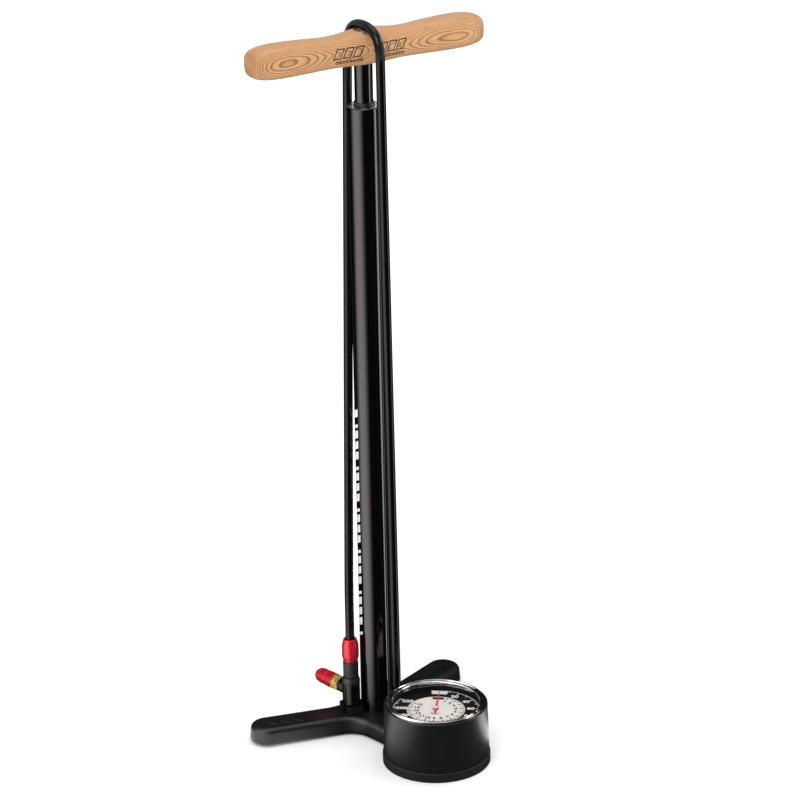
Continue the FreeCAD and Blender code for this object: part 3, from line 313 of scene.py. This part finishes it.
def ring_faces(rings, around, closed=True):
    """Quads over rings of points, and a flat cap at each end if closed."""
    faces = []
    for i in range(rings - 1):
        for j in range(around):
            k = (j + 1) % around
            faces.append((i * around + j, i * around + k, (i + 1) * around + k, (i + 1) * around + j))
    if closed:
        faces.append(tuple(reversed(range(around))))
        faces.append(tuple((rings - 1) * around + j for j in range(around)))
    return faces


def lathe(name, profile, around=72):
    """A closed surface turned about Z from a profile of (radius, z) in millimetres, ends on the axis."""
    points = []
    for radius, z in profile:
        for j in range(around):
            turn = 2 * math.pi * j / around
            points.append((radius * math.cos(turn) * MM, radius * math.sin(turn) * MM, z * MM))
    return mesh_object(name, points, ring_faces(len(profile), around), MATERIALS["steel"], smooth=False)


def smooth_between(table, x):
    """A value from a table of (x, value), eased through its points."""
    for i in range(len(table) - 1):
        if x <= table[i + 1][0]:
            break
    (x0, v0), (x1, v1) = table[i], table[i + 1]
    before = table[i - 1] if i else (x0, v0)
    after = table[i + 2] if i + 2 < len(table) else (x1, v1)
    slope_0 = (v1 - before[1]) / (x1 - before[0])
    slope_1 = (after[1] - v0) / (after[0] - x0)
    span = x1 - x0
    t = (x - x0) / span
    return ((2 * t ** 3 - 3 * t ** 2 + 1) * v0 + (t ** 3 - 2 * t ** 2 + t) * span * slope_0
            + (3 * t ** 2 - 2 * t ** 3) * v1 + (t ** 3 - t ** 2) * span * slope_1)


PRINT_THICKNESS = 0.06
DIAL_PRINT_THICKNESS = 0.03


def thicken(obj, thickness):
    """Gives a flat print a real thickness, half of it to each side."""
    shell = obj.modifiers.new("thickness", "SOLIDIFY")
    shell.thickness = thickness * MM
    shell.offset = 0.0


# ---------------------------------------------------------------- handle

# Half the handle, from its tip to its middle: place along it, height, depth and lift.
GRIP_STATIONS = (
    (115.5, 15.0, 16.0, 0.0), (113.9, 20.6, 22.5, 0.0), (110.0, 25.0, 27.2, 0.0), (101.5, 28.6, 30.6, 0.0),
    (87.5, 30.2, 31.6, 0.0), (65.5, 29.4, 30.2, -0.2), (33.5, 27.6, 27.4, -0.7), (0.0, 32.0, 31.0, 0.3))
GRIP_CORNER = 0.78
CORNER_POWER = 0.86
FLAT_EASE = 3
GROOVE_EASE = 0.5
GROOVE_SHOULDER = 1.5


def grip_half_sizes(x):
    """Half height, half depth and lift of the handle's section at a station."""
    rows = [(-s[0],) + s[1:] for s in GRIP_STATIONS] + [s for s in reversed(GRIP_STATIONS[:-1])]
    at = [smooth_between([(row[0], row[k]) for row in rows], x) for k in (1, 2, 3)]
    return at[0] / 2, at[1] / 2, at[2]


def section_point(half_h, half_d, turn):
    """A point on a rounded rectangle, y then z, at an angle about its middle."""
    radius = GRIP_CORNER * min(half_h, half_d)
    flat_h, flat_d = half_h - radius, half_d - radius
    c, s = math.cos(turn), math.sin(turn)
    y = math.copysign(abs(c) ** CORNER_POWER, c)
    z = math.copysign(abs(s) ** CORNER_POWER, s)
    norm = math.hypot(y, z)
    y, z = y / norm, z / norm
    return y * radius + math.copysign(flat_d, c) * min(1.0, abs(c) * FLAT_EASE), \
        z * radius + math.copysign(flat_h, s) * min(1.0, abs(s) * FLAT_EASE)


def grooved(x, y, z, lean):
    """The handle's top let down to the hose's gutter, with an eased edge."""
    across = x - (GROOVE_MIDDLE + y * math.tan(lean))
    upper_part = 4.0
    if z < upper_part or abs(across) > GROOVE_RADIUS + GROOVE_SHOULDER:
        return z
    if abs(across) < GROOVE_RADIUS:
        floor = GROOVE_FLOOR + GROOVE_RADIUS - math.sqrt(GROOVE_RADIUS ** 2 - across ** 2)
    else:
        floor = GROOVE_FLOOR + GROOVE_RADIUS + (abs(across) - GROOVE_RADIUS)
    if z <= floor - 4 * GROOVE_EASE:
        return z
    return 0.5 * (z + floor - math.sqrt((z - floor) ** 2 + GROOVE_EASE ** 2))


def make_handle():
    """The turned wooden handle, let down for the hose and bored for the rod and its bolt."""
    around = 120
    rod_hole, bolt_hole, rod_stop, bolt_seat = 8.3, 3.1, 0.9, 6.1
    stations = []
    x = -GRIP_HALF
    while x < GRIP_HALF:
        stations.append(x)
        rim = GRIP_HALF - abs(x)
        x += 0.35 if rim < 3 else (0.4 if abs(x + GRIP_SHIFT) < 13 else 1.3)
    stations.append(GRIP_HALF)
    behind, ahead = HOSE_ROUTE[3], HOSE_ROUTE[2]
    lean = math.atan2(behind[0] - ahead[0], behind[1] - ahead[1]) + GRIP_YAW
    points = []
    for x in stations:
        half_h, half_d, lift = grip_half_sizes(x)
        for j in range(around):
            y, z = section_point(half_h, half_d, 2 * math.pi * j / around)
            z = grooved(x + GRIP_SHIFT, y, z + lift, -lean)
            points.append(((x + GRIP_SHIFT) * MM, y * MM, z * MM))
    handle = mesh_object("wood_handle", points, ring_faces(len(stations), around), MATERIALS["ash_wood"])
    holes = lathe("handle_holes", [
        (0.001, -30), (rod_hole, -30), (rod_hole, rod_stop), (bolt_hole, rod_stop), (bolt_hole, bolt_seat),
        (rod_hole, bolt_seat), (rod_hole, 28), (0.001, 28)])
    cut = handle.modifiers.new("bored", "BOOLEAN")
    cut.operation = "DIFFERENCE"
    cut.object = holes
    cut.solver = "EXACT"
    bpy.context.view_layer.update()
    solid = bpy.data.meshes.new_from_object(handle.evaluated_get(bpy.context.evaluated_depsgraph_get()))
    handle.modifiers.clear()
    handle.data = solid
    bpy.data.objects.remove(holes)
    solid.polygons.foreach_set("use_smooth", [True] * len(solid.polygons))
    solid.set_sharp_from_angle(angle=math.radians(38))
    handle.location = (0, 0, GRIP_RISE * MM)
    handle.rotation_euler = (0, 0, GRIP_YAW)
    bpy.context.view_layer.update()
    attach(handle, "piston")
    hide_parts("handle_grip")


def front_depth(x, z):
    """How far towards the front the handle's surface lies at a height and a place along it."""
    half_h, half_d, lift = grip_half_sizes(x - GRIP_SHIFT)
    steps = 360
    front = [section_point(half_h, half_d, math.pi + math.pi * (k / steps - 0.5)) for k in range(steps + 1)]
    return min(front, key=lambda point: abs(point[1] + lift - z))[0]


def make_burned_marks():
    """A plain pattern of slanted outlines and dashes burned into the handle's front."""
    lines = []
    foot, head, wide, narrow = -3.8, 4.8, 5.4, 1.4
    for middle in (-31.0, -21.5, -12.0, 12.0, 21.5, 31.0):
        corners = [(middle - wide, foot), (middle + narrow, foot),
                   (middle + wide, head), (middle - narrow, head)]
        lines += list(zip(corners, corners[1:] + corners[:1]))
    first_dash, dash_pitch, dash = 8.0, 3.4, 2.0
    for k in range(8):
        for side in (-1, 1):
            start = side * (first_dash + dash_pitch * k)
            for row in (-6.6, -8.2):
                lines.append(((start, row), (start + side * dash, row)))
    points, faces = [], []
    half, piece, proud = 0.48, 0.9, 0.05
    for (x0, z0), (x1, z1) in lines:
        length = math.hypot(x1 - x0, z1 - z0)
        along_x, along_z = (x1 - x0) / length, (z1 - z0) / length
        x0, z0, x1, z1 = (x0 - along_x * half, z0 - along_z * half, x1 + along_x * half, z1 + along_z * half)
        count = max(2, int(length / piece))
        first = len(points)
        for i in range(count + 1):
            x, z = x0 + (x1 - x0) * i / count, z0 + (z1 - z0) * i / count
            for side in (-half, half):
                px, pz = x - along_z * side, z + along_x * side
                points.append((px * MM, (front_depth(px, pz) - proud) * MM, pz * MM))
        faces += [(first + 2 * i, first + 2 * i + 2, first + 2 * i + 3, first + 2 * i + 1)
                  for i in range(count)]
    char = finish("burned_wood", (46, 27, 16), 0.7, tint=0.3, grain=2600, bump=0.3)
    marks = mesh_object("burned_marks", points, faces, char)
    thicken(marks, PRINT_THICKNESS)
    marks.location = (0, 0, GRIP_RISE * MM)
    marks.rotation_euler = (0, 0, GRIP_YAW)
    bpy.context.view_layer.update()
    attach(marks, "piston")


# ---------------------------------------------------------------- hose

# From the outlet up the front, over the handle and down to the chuck.
HOSE_ROUTE = (
    (5.41, -24.41, 44.06), (-0.13, -26.46, 631.0), (-0.5, -26.6, 681.4), (0.7, 24.2, 681.4),
    (-1.53, 22.7, 631.0), (-22.7, 8.55, 163.0), (-23.74, 7.85, 134.0), (-23.74, 7.85, 75.0))
HOSE_RADIUS = 4.2
HOSE_STEP = 3.0


def hose_line():
    """Points that follow the route, evenly spaced, in metres."""
    data = bpy.data.curves.new("hose_line", "CURVE")
    data.dimensions = "3D"
    spline = data.splines.new("NURBS")
    spline.points.add(len(HOSE_ROUTE) - 1)
    for point, place in zip(spline.points, HOSE_ROUTE):
        point.co = [v * MM for v in place] + [1.0]
    spline.order_u = 3
    spline.use_endpoint_u = True
    spline.resolution_u = 48
    guide = bpy.data.objects.new("hose_line", data)
    bpy.context.scene.collection.objects.link(guide)
    bpy.context.view_layer.update()
    line = [v.co.copy() for v in bpy.data.meshes.new_from_object(
        guide.evaluated_get(bpy.context.evaluated_depsgraph_get())).vertices]
    bpy.data.objects.remove(guide)
    step = HOSE_STEP * MM
    even, walked = [line[0]], 0.0
    for a, b in zip(line, line[1:]):
        length = (b - a).length
        while walked + length >= step:
            a = a + (b - a) * ((step - walked) / length)
            length = (b - a).length
            even.append(a)
            walked = 0.0
            if length < 1e-9:
                break
        walked += length
    even.append(line[-1])
    return even


def tube_mesh(name, line, radius, around, material):
    """A tube along points, its rings carried along without twist."""
    points = []
    side = (line[1] - line[0]).orthogonal()
    for i, place in enumerate(line):
        ahead = (line[min(i + 1, len(line) - 1)] - line[max(i - 1, 0)]).normalized()
        side = (side - ahead * side.dot(ahead)).normalized()
        other = ahead.cross(side)
        for j in range(around):
            turn = 2 * math.pi * j / around
            points.append(place + (side * math.cos(turn) + other * math.sin(turn)) * radius)
    return mesh_object(name, points, ring_faces(len(line), around), material)


def make_hose():
    """The rubber hose, drawn along its route from the outlet, over the handle and down to the chuck."""
    line = hose_line()
    around = 24
    hose = tube_mesh("rubber_hose", line, HOSE_RADIUS * MM, around, MATERIALS["hose_rubber"])
    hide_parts("hose")
    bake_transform(hose)


# ---------------------------------------------------------------- valve spring

def make_spring():
    """The check valve's coil spring, standing on its foot under the poppet."""
    foot, tall, coil, pitch, wire = 14.4, 3.6, 3.3, 1.5, 0.32
    turns, count, around = tall / pitch, 160, 14
    line = []
    for i in range(count + 1):
        turn = 2 * math.pi * turns * i / count
        line.append(Vector((coil * math.cos(turn), coil * math.sin(turn), foot + tall * i / count)) * MM)
    spring = tube_mesh("coil_spring", line, wire * MM, around, MATERIALS["spring_steel"])
    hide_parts("valve_spring")
    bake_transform(spring)


# ---------------------------------------------------------------- knurled sleeve

def make_sleeve():
    """The turning sleeve under the red ferrule, with a diamond knurl rolled between two plain bands."""
    around, rows = 240, 56
    low, high, outer, bore = 53.0, 68.85, 7.2, 4.65
    corner, lip, lip_height = 0.6, 0.15, 0.35
    low_band, high_band, groove, groove_width = 2.2, 1.8, 0.35, 0.4
    starts, lean, depth, roundness = 18, 0.135, 0.42, 0.7
    profile = [(bore, low), (outer - corner, low), (outer - lip, low + lip_height)]
    for i in range(rows + 1):
        profile.append((outer, low + 2 * lip_height + (high - low - 4 * lip_height) * i / rows))
    profile += [(outer - lip, high - lip_height), (outer - corner, high), (bore, high)]
    points = []
    for radius, z in profile:
        for j in range(around):
            turn = 2 * math.pi * j / around
            r = radius
            inside = min(z - low - low_band, high - high_band - z)
            if radius == outer and inside > 0:
                slope = (z - low) * lean
                one = abs(math.sin(starts * (turn + slope)))
                two = abs(math.sin(starts * (turn - slope)))
                r -= depth * (1 - min(one, two) ** roundness) * min(1.0, inside / groove_width)
            elif radius == outer and -groove_width < inside <= 0:
                r -= groove
            points.append((r * math.cos(turn) * MM, r * math.sin(turn) * MM, z * MM))
    rings = len(profile)
    faces = ring_faces(rings, around, closed=False)
    faces += [((rings - 1) * around + j, (rings - 1) * around + (j + 1) % around, (j + 1) % around, j)
              for j in range(around)]
    sleeve = mesh_object("knurled_sleeve", points, faces, MATERIALS["knurl_grey"])
    sleeve.data.set_sharp_from_angle(angle=math.radians(50))
    sleeve.location = (CHUCK[0] * MM, CHUCK[1] * MM, 0)
    bpy.context.view_layer.update()
    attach(sleeve, "grip")
    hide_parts("chuck_grip")


# ---------------------------------------------------------------- dial print

PRINT_WHITE = finish("print_white", (246, 246, 244), 0.55, tint=0.04, grain=2600, bump=0.04)
PRINT_BLACK = finish("print_black", (16, 15, 15), 0.5, tint=0.1, grain=2600, bump=0.04)
PLATE_TOP, DISC_TOP = 50.03, 50.30
SWEEP = 300
OUTER_FULL, OUTER_FIRST, OUTER_RIM = 220, 10, 40.2
INNER_FULL, INNER_RIM = 15, 25.6
DIAL_TURN = math.radians(DIAL_UP - 90)


def dial_place(x, y, z):
    """A point of the dial's own plane, twelve along its y, in the row frame."""
    c, s = math.cos(DIAL_TURN), math.sin(DIAL_TURN)
    return ((x * c - y * s) * MM, (POD_Y + x * s + y * c) * MM, z * MM)


def dial_angle(share):
    """Where a share of full scale stands, clockwise from twelve."""
    return math.radians(90 - SWEEP * share)


class Print:
    """Thin printed shapes gathered into one mesh."""

    def __init__(self, z):
        self.z, self.points, self.faces = z, [], []

    def polygon(self, corners):
        first = len(self.points)
        self.points += [dial_place(x, y, self.z) for x, y in corners]
        self.faces.append(tuple(range(first, first + len(corners))))

    def tick(self, angle, low, high, width):
        c, s = math.cos(angle), math.sin(angle)
        half = width / 2
        self.polygon([(low * c + half * s, low * s - half * c), (high * c + half * s, high * s - half * c),
                      (high * c - half * s, high * s + half * c), (low * c - half * s, low * s + half * c)])

    def circle(self, radius, width, start=0.0, end=2 * math.pi, count=120):
        for i in range(count):
            a, b = (start + (end - start) * k / count for k in (i, i + 1))
            self.polygon([(r * math.cos(t), r * math.sin(t)) for r, t in (
                (radius, a), (radius + width, a), (radius + width, b), (radius, b))])

    def text(self, words, size, angle, radius):
        """Upright figures, a little emboldened, centred at a place on the dial."""
        data = bpy.data.curves.new("figure", "FONT")
        data.body = words
        data.size = size
        data.align_x, data.align_y = "CENTER", "CENTER"
        data.offset = 0.042 * size
        data.resolution_u = 2
        obj = bpy.data.objects.new("figure", data)
        bpy.context.scene.collection.objects.link(obj)
        bpy.context.view_layer.update()
        flat = bpy.data.meshes.new_from_object(obj.evaluated_get(bpy.context.evaluated_depsgraph_get()))
        first = len(self.points)
        x, y = radius * math.cos(angle), radius * math.sin(angle)
        self.points += [dial_place(x + v.co.x, y + v.co.y, self.z) for v in flat.vertices]
        self.faces += [tuple(first + k for k in p.vertices) for p in flat.polygons]
        bpy.data.objects.remove(obj)

    def make(self, name, material):
        obj = mesh_object(name, self.points, self.faces, material, smooth=False)
        thicken(obj, DIAL_PRINT_THICKNESS)
        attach(obj, "base")


def make_dial():
    """Two scales, white on the plate and black on the disc, each with a plain block at twelve."""
    outer = Print(PLATE_TOP)
    outer.polygon([(-7.0, 32.6), (7.0, 32.6), (8.0, 39.7), (-8.0, 39.7)])
    for value in range(OUTER_FIRST, OUTER_FULL + 1, 2):
        low = 36.4 if value % 20 == 0 else (37.6 if value % 10 == 0 else 38.7)
        width = 1.1 if value % 10 == 0 else 0.5
        outer.tick(dial_angle(value / OUTER_FULL), low, OUTER_RIM, width)
    for value in range(20, OUTER_FULL + 1, 20):
        outer.text(str(value), 7.0, dial_angle(value / OUTER_FULL), 32.0)
    outer.circle(OUTER_RIM, 0.35, dial_angle(1.0), dial_angle(OUTER_FIRST / OUTER_FULL), 110)
    outer.make("dial_outer_print", PRINT_WHITE)
    inner = Print(DISC_TOP)
    inner.polygon([(-5.0, 21.0), (5.0, 21.0), (5.6, 25.4), (-5.6, 25.4)])
    half_steps = 2 * INNER_FULL
    for step in range(2, half_steps + 1):
        whole = step % 2 == 0
        inner.tick(dial_angle(step / half_steps), 21.6 if whole else 23.2, INNER_RIM, 1.1 if whole else 0.6)
    for value in range(1, INNER_FULL + 1):
        inner.text(str(value), 5.4, dial_angle(value / INNER_FULL), 18.2)
    inner.circle(INNER_RIM + 0.1, 0.3, dial_angle(1.0), dial_angle(1 / INNER_FULL), 110)
    for row, half in ((-7.6, 5.2), (-9.6, 3.4)):
        inner.polygon([(-half, row), (half, row), (half, row + 0.7), (-half, row + 0.7)])
    inner.make("dial_inner_print", PRINT_BLACK)


# ---------------------------------------------------------------- barrel marks

def make_barrel_marks():
    """A column of plain slanted bars on the barrel's left side."""
    points, faces = [], []
    radius, steps, bars = 15.05, 12, 22
    middle, half_width = 157, 24
    low, pitch, rise = 90.0, 10.4, 6.0
    for k in range(bars):
        base = low + k * pitch
        tall = 7.6 if k % 4 else 3.2
        first = len(points)
        for i in range(steps + 1):
            share = i / steps
            turn = math.radians(middle) + math.radians(-half_width + 2 * half_width * share)
            slant = rise * share
            for z in (base + slant, base + slant + tall):
                points.append((radius * math.cos(turn) * MM, radius * math.sin(turn) * MM, z * MM))
        faces += [(first + 2 * i, first + 2 * i + 2, first + 2 * i + 3, first + 2 * i + 1)
                  for i in range(steps)]
    marks = mesh_object("barrel_marks", points, faces, PRINT_WHITE)
    thicken(marks, PRINT_THICKNESS)
    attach(marks, "base")


# ---------------------------------------------------------------- studio

def aim(obj, place, target):
    obj.location = place
    obj.rotation_mode = "QUATERNION"
    obj.rotation_quaternion = (Vector(target) - Vector(place)).to_track_quat("-Z", "Y")


def soft_light(name, place, target, width, height, power):
    data = bpy.data.lights.new(name, "AREA")
    data.shape = "RECTANGLE"
    data.size, data.size_y = width, height
    data.energy = power
    obj = bpy.data.objects.new(name, data)
    bpy.context.scene.collection.objects.link(obj)
    aim(obj, place, target)


def step_between(value, low, high, ease):
    """1 between low and high, eased to 0 outside."""
    rise = min(1.0, max(0.0, (value - low) / ease + 0.5))
    fall = min(1.0, max(0.0, (high - value) / ease + 0.5))
    return (rise * rise * (3 - 2 * rise)) * (fall * fall * (3 - 2 * fall))


# The studio's own numbers are in metres, watts and degrees.
LIGHTS = (
    ("key", (-1.3, -0.9, 1.7), (0, 0, 0.3), 1.2, 1.2, 20),
    ("fill", (1.5, -1.3, 1.0), (0, 0, 0.3), 0.9, 1.4, 7),
    ("top", (0.1, 0.1, 2.3), (0, 0, 0), 1.4, 1.4, 12),
    ("edge", (1.6, -0.25, 1.15), (0, 0, 0.02), 0.5, 0.5, 5))
SKY_STRENGTH = 0.68
FLOOR_HALF = 6.0
GLOW_BANDS = ((148, 208, 3.0, 44), (305, 320, 4.2, 6), (331, 337, 1.4, 4))
LEAST_GLOW = 0.01
CARD_RADIUS, CARD_HEIGHT, CARD_LIFT = 0.41, 0.55, 0.0003


def glow_at(angle):
    """How bright the studio's wall of cards is in a plan direction, in degrees."""
    return LEAST_GLOW + sum(power * step_between(angle, low, high, ease)
                            for low, high, power, ease in GLOW_BANDS)


def make_cards():
    """Cards round the object, and on the floor beside it, that only its shiny surfaces see."""
    around, at_axis = 720, 1e-5
    rings = [(at_axis, CARD_LIFT, 0.0), (0.045, CARD_LIFT, 0.0), (0.09, CARD_LIFT, 0.55),
             (0.2, CARD_LIFT, 1.0), (CARD_RADIUS, CARD_LIFT, 1.0), (CARD_RADIUS, CARD_HEIGHT, 1.0)]
    points, glow = [], []
    for radius, z, share in rings:
        for i in range(around):
            turn = 360 * i / around
            points.append((radius * math.cos(math.radians(turn)), radius * math.sin(math.radians(turn)), z))
            glow.append(LEAST_GLOW + (glow_at(turn) - LEAST_GLOW) * share)
    g = Graph("cards")
    shine = g.node("ShaderNodeEmission")
    shine.inputs["Color"].default_value = (1.0, 0.94, 0.9, 1.0)
    source = g.node("ShaderNodeAttribute", attribute_name="glow")
    g.put(source.outputs["Fac"], shine.inputs["Strength"])
    out = g.node("ShaderNodeOutputMaterial")
    g.tree.links.new(shine.outputs[0], out.inputs[0])
    cards = mesh_object("cards", points, ring_faces(len(rings), around, closed=False), g.material,
                        smooth=False)
    layer = cards.data.attributes.new("glow", "FLOAT", "POINT")
    layer.data.foreach_set("value", glow)
    cards.visible_camera = False
    cards.visible_diffuse = False
    cards.visible_transmission = False
    cards.visible_shadow = False
    cards.visible_volume_scatter = False


def make_studio():
    """White paper that glows more the further out it lies, an even sky, four soft lights and the cards."""
    g = Graph("floor_paper")
    mottle = g.noise(g.place(), 5.0, 3.0)
    far = g.node("ShaderNodeVectorMath", operation="LENGTH")
    g.put(g.place(), far.inputs[0])
    paper = g.principled(
        Base_Color=g.mix(g.span(mottle, 0.0, 1.0), (0.93, 0.93, 0.93, 1), (0.95, 0.95, 0.95, 1)),
        Roughness=0.95, Specular_IOR_Level=0.0, Emission_Color=(1, 1, 1, 1),
        Emission_Strength=g.span(far.outputs["Value"], 0.06, 0.42, 0.15, 1.6),
        Normal=g.bump(g.noise(g.place(), 400.0), 0.05, 0.0002))
    floor = mesh_object("floor", [(-FLOOR_HALF, -FLOOR_HALF, 0), (FLOOR_HALF, -FLOOR_HALF, 0),
                                  (FLOOR_HALF, FLOOR_HALF, 0), (-FLOOR_HALF, FLOOR_HALF, 0)],
                        [(0, 1, 2, 3)], paper, smooth=False)
    world = bpy.data.worlds.new("studio")
    bpy.context.scene.world = world
    world.use_nodes = True
    world.node_tree.nodes["Background"].inputs[0].default_value = (1, 1, 1, 1)
    world.node_tree.nodes["Background"].inputs[1].default_value = SKY_STRENGTH
    for light in LIGHTS:
        soft_light(*light)
    make_cards()
    bpy.context.scene.view_settings.view_transform = "Standard"


# ---------------------------------------------------------------- camera

def make_camera():
    """A long lens from the object's left front, a little above it and slightly rolled."""
    azimuth, elevation, roll = (math.radians(v) for v in (-35.12, 21.22, 1.25))
    distance = 3.41
    target = Vector((0, 0, 0.350))
    back = Vector((math.sin(azimuth) * math.cos(elevation), -math.cos(azimuth) * math.cos(elevation),
                   math.sin(elevation)))
    right = Vector((math.cos(azimuth), math.sin(azimuth), 0))
    up = back.cross(right)
    turn = Matrix((right, up, back)).transposed().to_4x4() @ Matrix.Rotation(-roll, 4, "Z")
    data = bpy.data.cameras.new("camera")
    data.lens, data.sensor_width = 168.8, 36.0
    data.shift_x, data.shift_y = 0.0375, -0.0292
    data.clip_start, data.clip_end = 0.05, 60
    data.dof.use_dof = False
    camera = bpy.data.objects.new("camera", data)
    bpy.context.scene.collection.objects.link(camera)
    camera.matrix_world = Matrix.Translation(target + back * distance) @ turn
    bpy.context.scene.camera = camera


make_handle()
make_burned_marks()
make_hose()
make_spring()
make_sleeve()
make_dial()
make_barrel_marks()
make_studio()
make_camera()
